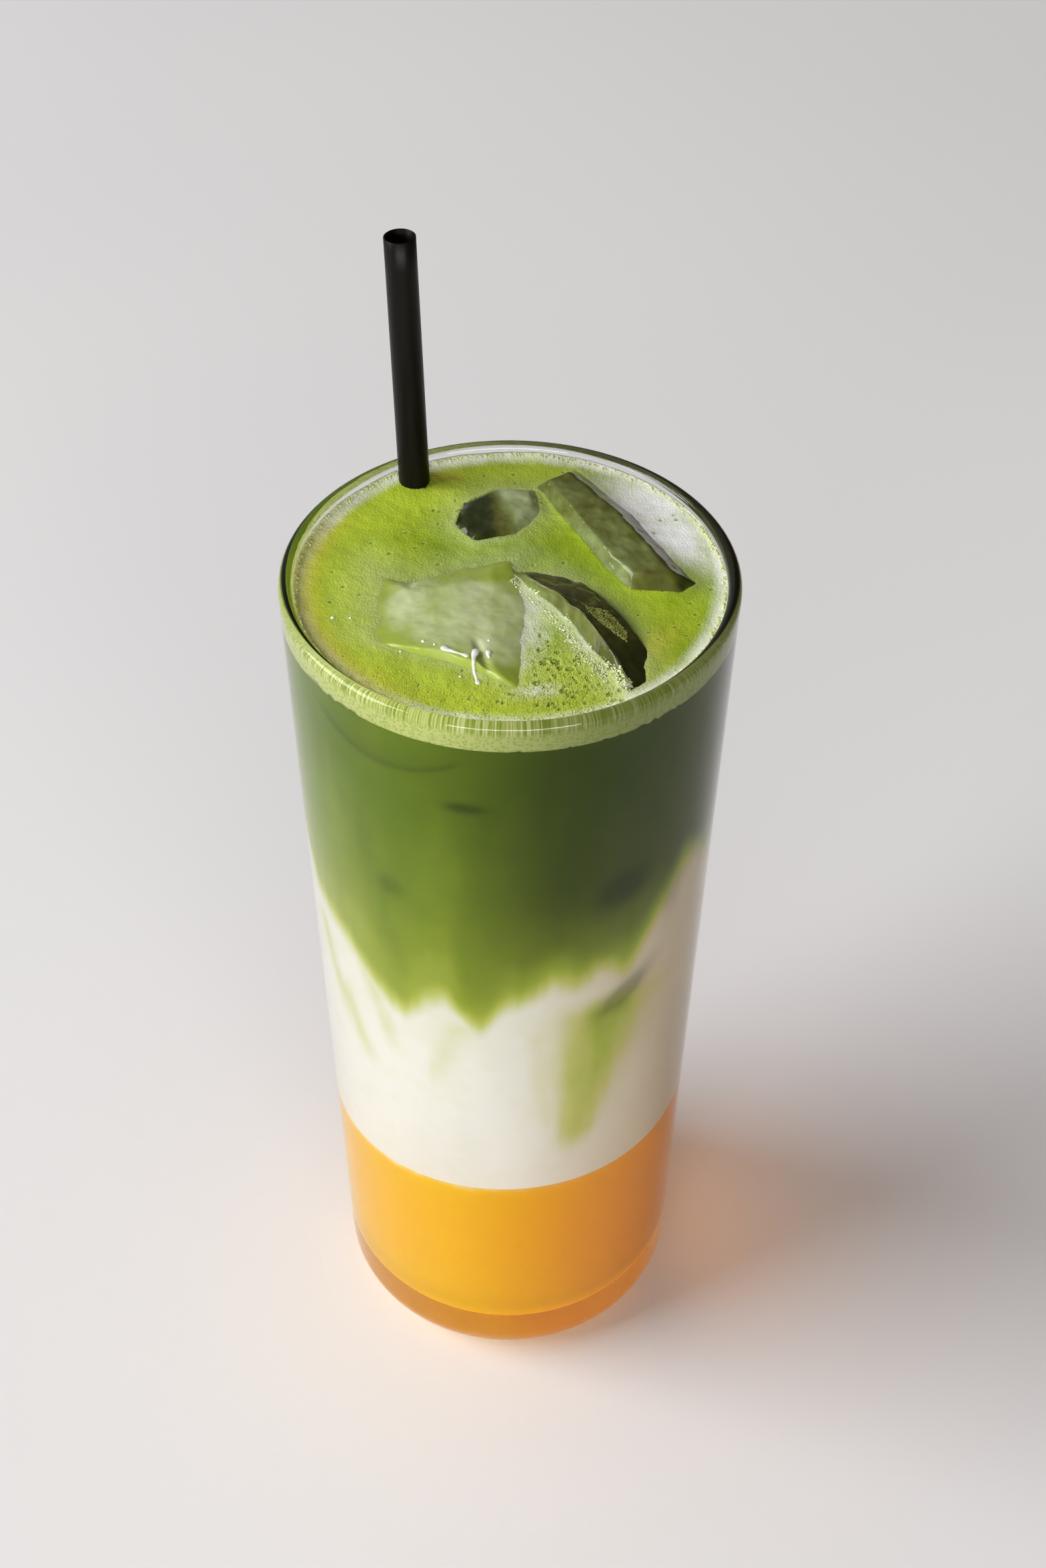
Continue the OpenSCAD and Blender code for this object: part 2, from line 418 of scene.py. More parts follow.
def iceMarksAndSideShade(points):
    # how dark the tea looks where ice lies close behind it or presses on the glass, plus painted shade on its
    # right side
    azimuth = azimuthOf(points)
    z = points[:, 2]
    shade = np.zeros(len(z))
    for place, size, turn, strength in drink["iceSpots"]:
        shade = np.maximum(shade, strength * np.minimum(1, 1.6 * spot(azimuth, z, place, size, turn)))
    arc = 149.4 + 0.0085 * (azimuth + 34) ** 2
    ends = smooth(-60, -50, azimuth) * (1 - smooth(-16, -8, azimuth))
    line = np.where(z < arc, np.exp(-((z - arc) / 0.45) ** 2), np.exp(-(z - arc) / 1.1))
    shade = np.maximum(shade, 0.42 * line * ends)
    # painted shade: the tea darker on the side away from the window, more so higher up
    sideShade = smooth(-0.5, 0.36, np.sin(np.radians(azimuth))) * (0.5 + 0.5 * smooth(104, 128, z))
    sideShade = sideShade * smooth(0, 9, z - meetingHeight(azimuth)) + 0.05 * roughNoise(points / [12, 12, 30], 2, 61)
    return np.clip(1 - (1 - shade) * (1 - 0.85 * np.clip(sideShade, 0, 1)), 0, 1)


def paintedWarmShade(points, start, strength):
    # painted warm shade: a warmer tint that grows on the side away from the window, where the light is dim
    # and warm
    return strength * smooth(start, 0.9, np.sin(np.radians(azimuthOf(points))))


def drinkMaterial(name, roughness, stops, warmShadeHex, paintedUnderGlow=0.0):
    # opaque drink pressed against the glass: no gloss of its own, colour set by how far tea and milk mixed
    material, tree, shader, place = newMaterial(name, {"Roughness": roughness, "IOR": 1.34,
            "Specular IOR Level": 0.0})
    cloud = addNode(tree, "TexNoise", values={"Scale": 1 / (5 * mm), "Detail": 3.0}, links={"Vector": place})
    ramp = rampBy(tree, "share", cloud, 0.025, stops)
    # painted warm shade on the side away from the window, then the dark ice marks and painted shade
    warmShaded = tintBy(tree, ramp, "warm", warmShadeHex)
    addLinks(tree, shader, {"Base Color": tintBy(tree, warmShaded, "shade", "#2B3410")})
    if paintedUnderGlow:
        # painted glow: the underside emits orange light, in place of light that the puree passes on to it
        under = addNode(tree, "Attribute", {"attribute_name": "under"})
        power = addNode(tree, "Math", {"operation": "MULTIPLY"}, {1: paintedUnderGlow}, {0: under.outputs["Fac"]})
        shader.inputs["Emission Color"].default_value = linearColour("#F2A01C")
        addLinks(tree, shader, {"Emission Strength": power})
    return material


teaStops = [(0.0, "#F6F1E9"), (0.12, "#EAE8CC"), (0.3, "#D2D582"), (0.5, "#B3BC4A"), (0.68, "#93A22F"),
            (0.85, "#7E9226"), (1.0, "#6A801B")]
# colour of the painted warm shade on milk and milky tea
milkWarmShadeHex = "#C4A05C"
mangoStops = [(0.0, "#F6F1E9"), (0.25, "#FADB7E"), (0.6, "#FFC900"), (1.0, "#FAC200")]


def layerPiece(name, lowAt, highAt, rows, material, reach, footProfile=None):
    # a full-width layer between two wavy levels; footProfile is the floor of the lowest layer
    azimuths = np.linspace(0, 360, drink["segments"], endpoint=False)
    caps = drink["capRings"]

    def capRing(heights, f):
        # flatter towards the middle
        z = heights.mean() + (heights - heights.mean()) * f * f
        return wallPoint(azimuths, z, f * (innerRadius(z) + reach))

    if footProfile:
        rings = [wallPoint(azimuths, z, r) for r, z in footProfile]
        lowHeights = np.full(len(azimuths), footProfile[-1][1])
    else:
        lowHeights = lowAt(azimuths)
        rings = [capRing(lowHeights, f) for f in np.linspace(0.15, 1, caps, endpoint=False)]
    highHeights = highAt(azimuths)
    # two close rings hold each edge crisp, so that the wall's shading stays flat up to it
    shares = np.concatenate([[0, 0.0006], np.linspace(0, 1, rows + 1)[1:-1], [0.9994, 1]])
    for share in shares[1 if footProfile else 0:]:
        z = lowHeights + (highHeights - lowHeights) * share
        rings.append(wallPoint(azimuths, z, innerRadius(z) + reach))
    rings += [capRing(highHeights, f) for f in np.linspace(1, 0.15, caps + 1)[1:]]
    poles = [(0, 0, ring[:, 2].mean()) for ring in (rings[0], rings[-1])]
    points, faces = loftRings(rings, *poles)
    piece = addPiece(name, points, faces, [material])
    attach(piece, "root")
    return piece


def makeLayers():
    # each layer laps a little way down over the one below, just outside it, so that no crack shows
    reach, lap, step = tumbler["reach"], drink["lap"], drink["lapStep"]
    foot = [(filletX * f, floorZ - reach) for f in (0.1, 0.4, 0.7)]
    foot += arcPoints((filletX, filletZ), tumbler["filletRadius"] + reach, -90, -innerTilt, 20)
    puree = drinkMaterial("mango puree, sieved", 0.45, mangoStops, "#EE9600", drink["paintedUnderGlow"])
    poured = drinkMaterial("cold milk, poured", 0.4, teaStops, milkWarmShadeHex)
    whisked = drinkMaterial("matcha tea, whisked", 0.4, teaStops, milkWarmShadeHex)
    mango = layerPiece("mango_puree", None, mangoHeight, 50, puree, reach, foot)
    milk = layerPiece("cold_milk", lambda a: mangoHeight(a) - lap, meetingHeight, 90, poured, reach + step)
    matcha = layerPiece("matcha_tea", lambda a: meetingHeight(a) - lap, lambda a: 0 * a + frothFloor, 90,
                        whisked, reach + 2 * step)
    for piece, node in ((mango, "mango"), (milk, "milk"), (matcha, "matcha")):
        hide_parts(node)
    return mango, milk, matcha


mango, milk, matcha = makeLayers()
print("layers made")


# ice that breaks the surface

swirl = math.radians(-54)
alongDir = np.array([math.cos(swirl), math.sin(swirl)])
acrossDir = np.array([-math.sin(swirl), math.cos(swirl)])


def softMin(values, softness):
    lowest = np.minimum.reduce(values)
    return lowest - softness * np.log(sum(np.exp((lowest - v) / softness) for v in values))


def wave(values, seed=0):
    flat = np.asarray(values, dtype=float)
    return noise3(columns(flat.ravel(), 0, 0), seed).reshape(flat.shape)


def grain(a, b, seed=0, octaves=2):
    return roughNoise(columns(a.ravel(), b.ravel(), 0), octaves, seed).reshape(a.shape)


# the height of each piece's top over the froth, at a place along and across the swirl from its middle

def ridgeCrest(along):
    return -2.7 - 0.008 * (along + 4) ** 2 + 0.3 * wave(along / 2.3, 4)


def ridgeHeight(along, across):
    crest = ridgeCrest(along)
    far = 3.6 - 0.012 * (along + 3) ** 2
    peak = 3.1 - 0.007 * (along - 1) ** 2 + 0.12 * wave(along / 3, 9)
    right = np.maximum(peak - 1.3 * (across - crest), peak - 0.55 - 0.27 * (across - crest))
    left = peak + np.interp(along, [-8, 6, 15], [6.0, 2.2, 3.5]) * (across - crest)
    top = softMin([right, left, 1.0 - 1.5 * (across - far), 1.6 + 0.9 * (along + 15.5),
                   1.5 - 1.0 * (along - 14.6)], 0.1)
    return top + 0.1 * grain(along / 2.4, across / 1.1, 12)


def barHeight(along, across):
    near = -3.2 - 0.16 * np.clip(along + 2, -12, 8)
    bevel = 2.3 - 0.14 * np.clip(along, -2, 14)
    top = 2.3 + 0.04 * across
    point = 2.2 - 1.5 * (0.714 * (along - 12.1) - 0.7 * (across + 3.8))
    whole = softMin([top, 2.2 + 1.9 * (across - near), 2.5 - 0.75 * (across - bevel),
                     1.9 + 1.2 * (along + 15), 2.0 - 0.9 * (along - 15.5), point], 0.14)
    return whole + 0.09 * grain(along / 2.6, across / 1.6, 22)


def chipHeight(along, across):
    corners = [(-1.1, -5.2), (-4.7, -0.6), (-4.8, 5.2), (-1, 10.4), (4.1, 7.8), (7.2, 1), (4.3, -4.8)]
    sides = []
    for (a0, c0), (a1, c1) in zip(corners, corners[1:] + corners[:1]):
        length = math.hypot(a1 - a0, c1 - c0)
        inward = ((c1 - c0) * (along - a0) - (a1 - a0) * (across - c0)) / length
        sides.append(0.25 + 0.8 * inward)
    whole = softMin([1.0 + 0.03 * across] + sides, 0.16)
    return whole + 0.08 * grain(along / 2.2, across / 2.2, 32)


def slabHeight(along, across):
    x = along * alongDir[0] + across * acrossDir[0]
    y = along * alongDir[1] + across * acrossDir[1]
    shore = 8.7 + 0.42 * x + 0.03 * (x - 4) ** 2 * (x > 4) + 0.35 * wave(x / 2.1, 3)
    front = 1.0 + 1.5 * (y + shore)
    wing = 0.95 + 0.045 * (x + 6) - 0.02 * y
    hump = 1.25 - 0.01 * (x - 3) ** 2
    whole = softMin([hump, front, 0.75 - 0.32 * (x - 10.6), 0.6 - 0.30 * (y - 0.45 * np.abs(x + 4) - 6.0),
                     0.55 + 0.7 * (x + 15 - 0.4 * y), np.maximum(wing, 1.1 + 0.3 * (x + 6))], 0.12)
    groove = 0.55 * np.exp(-((x - 7.2 + 0.25 * (y + 10)) / 0.55) ** 2) * smooth(-5, -8, y)
    return whole - groove + 0.07 * grain(x / 3.2, y / 3.2, 52)


iceSpecs = {
    "ridge_ice": {"node": "ice_front_right", "height": ridgeHeight, "heart": (0, -1.0), "seed": 3},
    "bar_ice": {"node": "ice_rear_right", "height": barHeight, "heart": (0, 0), "seed": 5},
    "chip_ice": {"node": "ice_rear_centre", "height": chipHeight, "heart": (1.2, 2), "seed": 8},
    "slab_ice": {"node": "ice_front_left", "height": slabHeight, "heart": (0, 0), "seed": 13},
}
iceShape = {"spokes": 240, "rings": 58, "sideRings": 18, "skirt": 1.6, "farthest": 22, "probes": 441}


def iceMiddle(name):
    low, high = boxOf(iceSpecs[name]["node"])
    return (low[:2] + high[:2]) / 2


def localPlace(name, x, y):
    # along and across the swirl from a piece's middle
    dx, dy = x - iceMiddle(name)[0], y - iceMiddle(name)[1]
    return dx * alongDir[0] + dy * alongDir[1], dx * acrossDir[0] + dy * acrossDir[1]


def placeBack(name, along, across):
    # from along and across the swirl to x and y
    middle = iceMiddle(name)
    return [middle[i] + along * alongDir[i] + across * acrossDir[i] for i in (0, 1)]


def iceTop(name, x, y):
    # height of a piece's top over the froth
    return iceSpecs[name]["height"](*localPlace(name, x, y))


def meltedIce(name, material):
    # spokes from the piece's heart run out over its top until it dips under the froth, then down its side
    spec = iceSpecs[name]
    low, _ = boxOf(spec["node"])
    angles = np.linspace(0, 2 * math.pi, iceShape["spokes"], endpoint=False)
    steps = np.linspace(0, iceShape["farthest"], iceShape["probes"])
    along = spec["heart"][0] + np.outer(np.cos(angles), steps)
    across = spec["heart"][1] + np.outer(np.sin(angles), steps)
    sunk = spec["height"](along, across) < -iceShape["skirt"]
    sunk[:, -1] = True
    radii = steps[np.argmax(sunk, axis=1)]
    window = np.hanning(7) / np.hanning(7).sum()
    radii = np.convolve(np.concatenate([radii[-3:], radii, radii[:3]]), window, "valid")

    def ring(factor):
        a = spec["heart"][0] + np.cos(angles) * radii * factor
        c = spec["heart"][1] + np.sin(angles) * radii * factor
        return columns(*placeBack(name, a, c), frothZ + spec["height"](a, c))

    rings = [ring(f) for f in np.linspace(0.02, 1, iceShape["rings"])]
    edgeZ = rings[-1][:, 2]
    waterZ = frothZ - iceShape["skirt"]
    for g in np.linspace(0, 1, iceShape["sideRings"] + 1)[1:]:
        drawnIn = 0.09 * g + 1.8 * max(0, g - 0.85)
        side = ring(1 - drawnIn)
        side[:, 2] = edgeZ * (1 - g) ** 3 + (1 - (1 - g) ** 3) * (waterZ - (waterZ - low[2]) * g)
        rings.append(side)
    top = ring(0)[0]
    foot = np.array([*rings[-1][:, :2].mean(0), rings[-1][:, 2].mean()])
    points, faces = loftRings(rings, top, foot)
    piece = addPiece(name, points, faces, [material])
    faceOutwards(piece)
    points = pointsOf(piece)
    melt = 0.05 * roughNoise(points / 1.4, 2, spec["seed"])
    melt -= 0.1 * np.abs(roughNoise(points / 4.5, 2, spec["seed"] + 9))
    setPoints(piece, points + normalsOf(piece) * melt[:, None])
    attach(piece, "root")
    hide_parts(spec["node"])
    return piece


def stainedIce():
    # clear ice stained by the drink, melted and wet: dark olive, half see-through, with a glossy skin
    material, tree, shader, place = newMaterial("clear ice, melted wet", {"Roughness": 0.07, "IOR": 1.31,
            "Transmission Weight": 0.25, "Coat Weight": 0.5, "Coat Roughness": 0.03, "Coat IOR": 1.33})
    melt = addNode(tree, "TexNoise", values={"Scale": 1 / (2.5 * mm), "Detail": 3.0}, links={"Vector": place})
    bump = addNode(tree, "Bump", values={"Strength": 0.45, "Distance": 0.25 * mm}, links={"Height": melt})
    ramp = rampBy(tree, "tone", melt, 0.09, [(0.0, "#1A2408"), (0.25, "#363E16"), (0.5, "#66692C"),
                                             (0.75, "#8C9C5C"), (1.0, "#C8D2A4")])
    addLinks(tree, shader, {"Base Color": ramp, "Normal": bump})
    return material


def cloudyIce():
    # white-hearted ice under a skin of milky tea: pale, waxy and wet
    material, tree, shader, place = newMaterial("cloudy ice, filmed with milk", {"Roughness": 0.22,
            "IOR": 1.31, "Subsurface Weight": 0.3, "Subsurface Radius": (2.2 * mm, 2.4 * mm, 1.2 * mm),
            "Subsurface Scale": 1.0, "Coat Weight": 0.8, "Coat Roughness": 0.04, "Coat IOR": 1.33})
    cloud = addNode(tree, "TexNoise", values={"Scale": 1 / (7 * mm), "Detail": 4.0, "Roughness": 0.6},
            links={"Vector": place})
    core = addNode(tree, "ValToRGB", links={"Fac": cloud})
    setStops(core, [(0.3, "#A9BC6A"), (0.5, "#BECB90"), (0.7, "#D2DCAF")])
    bump = addNode(tree, "Bump", values={"Strength": 0.4, "Distance": 0.3 * mm}, links={"Height": cloud})
    addLinks(tree, shader, {"Base Color": tintBy(tree, core, "film", "#9DAF42"), "Normal": bump})
    return material


clearIce = stainedIce()
iceRidge = meltedIce("ridge_ice", clearIce)
iceBar = meltedIce("bar_ice", clearIce)
iceChip = meltedIce("chip_ice", clearIce)
iceSlab = meltedIce("slab_ice", cloudyIce())
iceAll = [iceRidge, iceBar, iceChip, iceSlab]


def outlineGap(x, y, outline):
    # distance from a closed outline, negative inside it
    best = np.full(len(x), 99.0)
    for (x0, y0), (x1, y1) in zip(outline, outline[1:] + outline[:1]):
        dx, dy = x1 - x0, y1 - y0
        t = np.clip(((x - x0) * dx + (y - y0) * dy) / (dx * dx + dy * dy), 0, 1)
        best = np.minimum(best, np.hypot(x - x0 - t * dx, y - y0 - t * dy))
    return np.where(insideOutline(x, y, outline), -best, best)


def insideOutline(x, y, outline):
    inside = np.zeros(len(x), dtype=bool)
    for (x0, y0), (x1, y1) in zip(outline, outline[1:] + outline[:1]):
        crosses = ((y0 > y) != (y1 > y)) & (x < (x1 - x0) * (y - y0) / (y1 - y0 + 1e-9) + x0)
        inside ^= crosses
    return inside


# the cloudy heart of the slab, seen from above
slabHeart = [(-18.8, -6), (-17.8, -1), (-13.7, 2.4), (-8.4, -1.4), (4.4, -1.8), (4.0, -13), (-0.4, -21.3),
             (-10.1, -17), (-17.3, -11.3)]
slabPoints = pointsOf(iceSlab)
slabGap = outlineGap(slabPoints[:, 0], slabPoints[:, 1], slabHeart) + 0.9 * roughNoise(slabPoints / 3, 3, 5)
setValues(iceSlab, "film", smooth(-2.6, 1.8, slabGap))


def toneIce():
    # how pale each clear piece looks: 0 is nearly black, 1 is frosted white
    points = pointsOf(iceRidge)
    along, across = localPlace("ridge_ice", *points.T[:2])
    leftFace = 1 - smooth(-0.25, 0.35, across - ridgeCrest(along))
    tone = 0.34 + 0.2 * leftFace - 0.12 * smooth(4, 12, along) + 0.12 * smooth(-6, -14, along)
    setValues(iceRidge, "tone", tone + 0.06 * roughNoise(points / 2.5, 2, 71))
    points = pointsOf(iceBar)
    along, across = localPlace("bar_ice", *points.T[:2])
    bevel = smooth(1.6, 2.6, across + 0.14 * np.clip(along, -2, 14))
    tone = 0.57 - 0.12 * bevel + 0.1 * (1 - smooth(-4.4, -2.6, across)) - 0.12 * smooth(9, 16, along)
    setValues(iceBar, "tone", tone + 0.06 * roughNoise(points / 3, 2, 73))
    points = pointsOf(iceChip)
    pale = smooth(-4.2, 0.6, points[:, 0] + 0.2 * (points[:, 1] - 17) + 1.2 * roughNoise(points / 4, 2, 77))
    setValues(iceChip, "tone", 0.17 + 0.7 * pale)


toneIce()
print("ice made:", [len(p.data.polygons) for p in iceAll])


# the straw

straw = {"diameter": 4.9, "wall": 0.3, "softEdge": 0.12, "segments": 64}


def extrudedPlastic():
    # polypropylene straw, extruded: black, satin, with fine draw lines along it
    material, tree, shader, place = newMaterial("polypropylene, extruded black", {"Roughness": 0.36,
            "IOR": 1.49, "Specular IOR Level": 0.12})
    lines = addNode(tree, "Mapping", values={"Scale": (1, 1, 0.03)}, links={"Vector": place})
    draw = addNode(tree, "TexNoise", values={"Scale": 1 / (0.5 * mm), "Detail": 2.0}, links={"Vector": lines})
    bump = addNode(tree, "Bump", values={"Strength": 0.12, "Distance": 0.05 * mm}, links={"Height": draw})
    shade = addNode(tree, "ValToRGB", links={"Fac": draw})
    setStops(shade, [(0.3, "#070604"), (0.7, "#0E0C08")])
    addLinks(tree, shader, {"Base Color": shade, "Normal": bump})
    return material


def strawAxis():
    # the CAD tube's own middle line: mean of its highest and of its lowest points
    flat = np.array([v.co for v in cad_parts["straw"].data.vertices]) / mm
    direction = np.linalg.svd(flat - flat.mean(0), full_matrices=False)[2][0]
    direction *= np.sign(direction[2])
    reach = (flat - flat.mean(0)) @ direction
    foot = flat[reach < reach.min() + 1].mean(0)
    top = flat[reach > reach.max() - 1].mean(0)
    return foot, top


def tubeRings(foot, top, profile, segments):
    axis = (top - foot) / np.linalg.norm(top - foot)
    side = np.cross(axis, [0, 1, 0])
    side /= np.linalg.norm(side)
    other = np.cross(axis, side)
    length = np.linalg.norm(top - foot)
    angles = np.linspace(0, 2 * math.pi, segments, endpoint=False)
    circle = np.outer(np.cos(angles), side) + np.outer(np.sin(angles), other)
    return [foot + axis * f * length + circle * r for r, f in profile]


def makeStraw():
    foot, top = strawAxis()
    outer = straw["diameter"] / 2
    inner = outer - straw["wall"]
    middle = (outer + inner) / 2
    soft = straw["softEdge"] / np.linalg.norm(top - foot)
    stations = list(np.linspace(soft, 1 - soft, 40))
    profile = [(middle, 0)] + [(outer, f) for f in stations] + [(middle, 1)]
    profile += [(inner, f) for f in reversed(stations)]
    rings = tubeRings(foot, top, profile, straw["segments"])
    points, faces = loftRings(rings, closed=True)
    piece = addPiece("drinking_straw", points, faces, [extrudedPlastic()])
    faceOutwards(piece)
    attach(piece, "root")
    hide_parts("straw")
    return foot, top


strawFoot, strawTop = makeStraw()
print("straw made")


# froth

froth = {
    "grid": 280,
    "rows": 9,
    "swell": 0.22,
    "wallClimb": 0.45,
    "iceClimb": 0.3,
    "bubbleCount": 150,
    "cutterInset": 0.08,
    "streaks": (159.2, 160.2),  # heights between which the upright streaks on the glass set in
    "shade": 0.58,
    "seed": 7,
}


def discGrid(n, radius):
    # an even grid bent to a disc, and the order of its edge points
    line = np.linspace(-1, 1, n + 1)
    u, v = np.meshgrid(line, line, indexing="ij")
    big = np.maximum(np.abs(u), np.abs(v))
    wide = np.abs(u) > np.abs(v)
    safeU = np.where(u == 0, 1, u)
    safeV = np.where(v == 0, 1, v)
    turn = np.where(wide, math.pi / 4 * v / safeU, math.pi / 2 - math.pi / 4 * u / safeV)
    sign = np.where(wide, np.sign(u), np.sign(v))
    x = big * sign * np.cos(turn) * radius
    y = big * sign * np.sin(turn) * radius
    index = np.arange((n + 1) ** 2).reshape(n + 1, n + 1)
    edge = list(index[0, :-1]) + list(index[:-1, -1]) + list(index[-1, :0:-1]) + list(index[:0:-1, 0])
    faces = np.stack([index[:-1, :-1], index[1:, :-1], index[1:, 1:], index[:-1, 1:]], axis=-1).reshape(-1, 4)
    return x.ravel(), y.ravel(), faces, edge


def nearestDistance(pieces, points):
    # distance from each point to the nearest of the pieces, in millimetres
    best = np.full(len(points), 99.0)
    for piece in pieces:
        tree = BVHTree.FromObject(piece, bpy.context.evaluated_depsgraph_get())
        found = [tree.find_nearest(Vector(p * mm), 12 * mm)[3] for p in points]
        best = np.minimum(best, [99 if d is None else d / mm for d in found])
    return best


def scatterBubbles():
    # where bubbles sit in the froth: x, y, radius; they are larger beside the ridge of ice
    rng = np.random.default_rng(froth["seed"])
    spots = []
    while len(spots) < froth["bubbleCount"]:
        x, y = rng.uniform(-32, 32, 2)
        if math.hypot(x, y) > 31.6:
            continue
        near = float(spot(x, y, (9, -21), (9, 6), -30))
        onIce = iceTop("slab_ice", x, y) > -0.5 or iceTop("ridge_ice", x, y) > -0.5
        if rng.random() > 0.025 + 0.975 * near or onIce:
            continue
        size = 0.3 + 0.12 * rng.random() + near * 0.6 * rng.random() ** 4
        spots.append((x, y, size))
    return np.array(spots)


bubbles = scatterBubbles()


def frothHeight(x, y, iceGap):
    points = columns(x, y, 0)
    height = frothZ + froth["swell"] * roughNoise(points / 9, 2, 31) + 0.05 * roughNoise(points / 1.3, 2, 37)
    wallGap = innerRadius(frothZ) - np.hypot(x, y)
    height += froth["wallClimb"] * np.exp(-wallGap / 0.7)
    height += froth["iceClimb"] * np.exp(-iceGap / 0.9)
    return height


def makeFroth(materials, cutters):
    x, y, faces, edge = discGrid(froth["grid"], innerRadius(frothZ) + tumbler["reach"])
    gap = nearestDistance([iceRidge, iceBar, iceChip], columns(x, y, frothZ))
    z = frothHeight(x, y, gap)
    hollowShade = np.zeros(len(x))
    rim = np.zeros(len(x))
    for bx, by, size in bubbles:
        near = (np.abs(x - bx) < 2 * size) & (np.abs(y - by) < 2 * size)
        d = np.hypot(x[near] - bx, y[near] - by) / size
        # painted shade darkens each bubble's pit; the pale ring on its raised lip is a painted highlight
        hollowShade[near] = np.maximum(hollowShade[near], (1 - smooth(0.75, 1.0, d)) * smooth(0.14, 0.3, size))
        lip = np.exp(-((d - 1.1) / 0.25) ** 2)
        rim[near] = np.maximum(rim[near], lip)
        z[near] += -0.45 * size * (1 - np.clip(d, 0, 1) ** 2) + 0.12 * size * lip
    top = columns(x, y, z)
    azimuth = azimuthOf(top[edge])
    ragged = 0.28 * roughNoise(columns(azimuth / 1.6, 0, 0), 3, 41)
    ragged += 0.35 * roughNoise(columns(azimuth / 14, 0, 0), 2, 43)
    rings = []
    for i in range(1, froth["rows"] + 1):
        level = z[edge] + (frothFloor + ragged - z[edge]) * i / froth["rows"]
        rings.append(wallPoint(azimuth, level, innerRadius(level) + tumbler["reach"] + drink["lapStep"]))
    count = len(edge)
    points = np.concatenate([top] + rings + [np.array([[0, 0, frothFloor]])])
    allFaces = [tuple(f) for f in faces]
    sideStart = len(allFaces)
    loops = [list(edge)] + [[len(top) + i * count + j for j in range(count)] for i in range(froth["rows"])]
    for a, b in zip(loops[:-1], loops[1:]):
        allFaces += [(a[j], b[j], b[(j + 1) % count], a[(j + 1) % count]) for j in range(count)]
    pole = len(points) - 1
    allFaces += [(loops[-1][j], pole, loops[-1][(j + 1) % count]) for j in range(count)]
    piece = addPiece("matcha_froth", points, allFaces, materials)
    for polygon in piece.data.polygons[sideStart:]:
        polygon.material_index = 1
    faceOutwards(piece)
    for name, values in (("hollowShade", hollowShade), ("rim", rim)):
        setValues(piece, name, np.concatenate([values, np.zeros(len(points) - len(top))]))
    cutWith(piece, cutters)
    tintFroth(piece)
    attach(piece, "root")
    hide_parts("foam")
    return piece


def tintFroth(piece):
    # where the froth is milky, golden, lighter by painted light or darker by painted shade
    done = pointsOf(piece)
    px, py = done[:, 0], done[:, 1]
    gap = nearestDistance([iceSlab, iceRidge, iceChip], done)
    milky = np.minimum(1, 1.5 * spot(px, py, (22.6, 16), (4.9, 11.5), 33))
    milky = np.maximum(milky, spot(px, py, (4, -25), (3.2, 1.5), 12) * 0.75)
    milky = np.maximum(milky, 0.16 * np.exp(-gap / 1.3))
    radius = np.hypot(px, py)
    milky = np.maximum(milky, 0.68 * smooth(29.6, 32.2, radius))
    beside = nearestDistance([iceRidge], done)
    _, across = localPlace("ridge_ice", px, py)
    heartGap = outlineGap(px, py, slabHeart) + 0.8 * roughNoise(done / 2.5, 2, 63)
    milky = np.maximum(milky, 0.4 * (1 - smooth(0, 4.2, heartGap)) * smooth(-14, -2, px))
    milky = np.maximum(milky, 0.42 * np.exp(-beside / 1.8) * (1 - smooth(-3.5, -2.5, across)))
    # painted light: the froth lighter towards the rim and at the front, less so at the front right
    paintedLight = 0.8 * smooth(13, 27, radius) * (1 - 0.85 * smooth(2, 18, px) * smooth(-24, -12, py))
    paintedLight = paintedLight + 0.35 * (1 - smooth(-27, -15, py))
    setValues(piece, "paintedLight", np.clip(0.75 * paintedLight + 0.1 * roughNoise(done / 5, 2, 57), 0, 1))
    # painted shade: the froth darker towards the right, away from the window; only the froth on the glass
    # uses it
    setValues(piece, "shade", froth["shade"] * smooth(-0.4, 0.55, np.sin(np.radians(azimuthOf(done)))))
    milky += 0.16 * roughNoise(done / 3.1, 3, 51) * smooth(0.05, 0.4, milky)
    setValues(piece, "milky", np.clip(milky, 0, 1))
    golden = 0.6 * smooth(27.5, 31, radius) * smooth(6, 24, -px) * (1 - smooth(6, 22, py))
    golden += 0.6 * spot(px, py, (-10.6, 27), (2.6, 1.4)) + 0.35 * spot(px, py, (22, -14), (2.5, 5), -30)
    setValues(piece, "golden", np.clip(golden, 0, 1))


def whiskedFroth():
    # whisked matcha froth: lime green, wet and full of pin-prick bubbles
    material, tree, shader, place = newMaterial("matcha froth, whisked", {"Roughness": 0.4, "IOR": 1.33,
            "Specular IOR Level": 0.3, "Subsurface Weight": 0.35,
            "Subsurface Radius": (0.9 * mm, 1.2 * mm, 0.4 * mm), "Subsurface Scale": 1.0})
    cloud = addNode(tree, "TexNoise", values={"Scale": 1 / (6 * mm), "Detail": 4.0}, links={"Vector": place})
    base = addNode(tree, "ValToRGB", links={"Fac": cloud})
    setStops(base, [(0.3, "#86A018"), (0.5, "#94AD20"), (0.7, "#A2B92E")])
    colour = base
    # lighter froth from painted light, a painted highlight round each bubble and painted shade in its pit,
    # over milky and golden colour that is the froth's own
    for attribute, hexCode, strength in (("paintedLight", "#C3D640", 1), ("milky", "#FAFDF8", 1),
                                         ("golden", "#E4DC50", 1), ("rim", "#D3DF8E", 0.35),
                                         ("hollowShade", "#6F9018", 0.5)):
        colour = tintBy(tree, colour, attribute, hexCode, strength)
    fine = addNode(tree, "TexVoronoi", {"feature": "F1"}, {"Scale": 1 / (0.35 * mm)}, {"Vector": place})
    bump = addNode(tree, "Bump", values={"Strength": 0.6, "Distance": 0.12 * mm}, links={"Height": fine})
    addLinks(tree, shader, {"Base Color": colour, "Normal": bump})
    return material


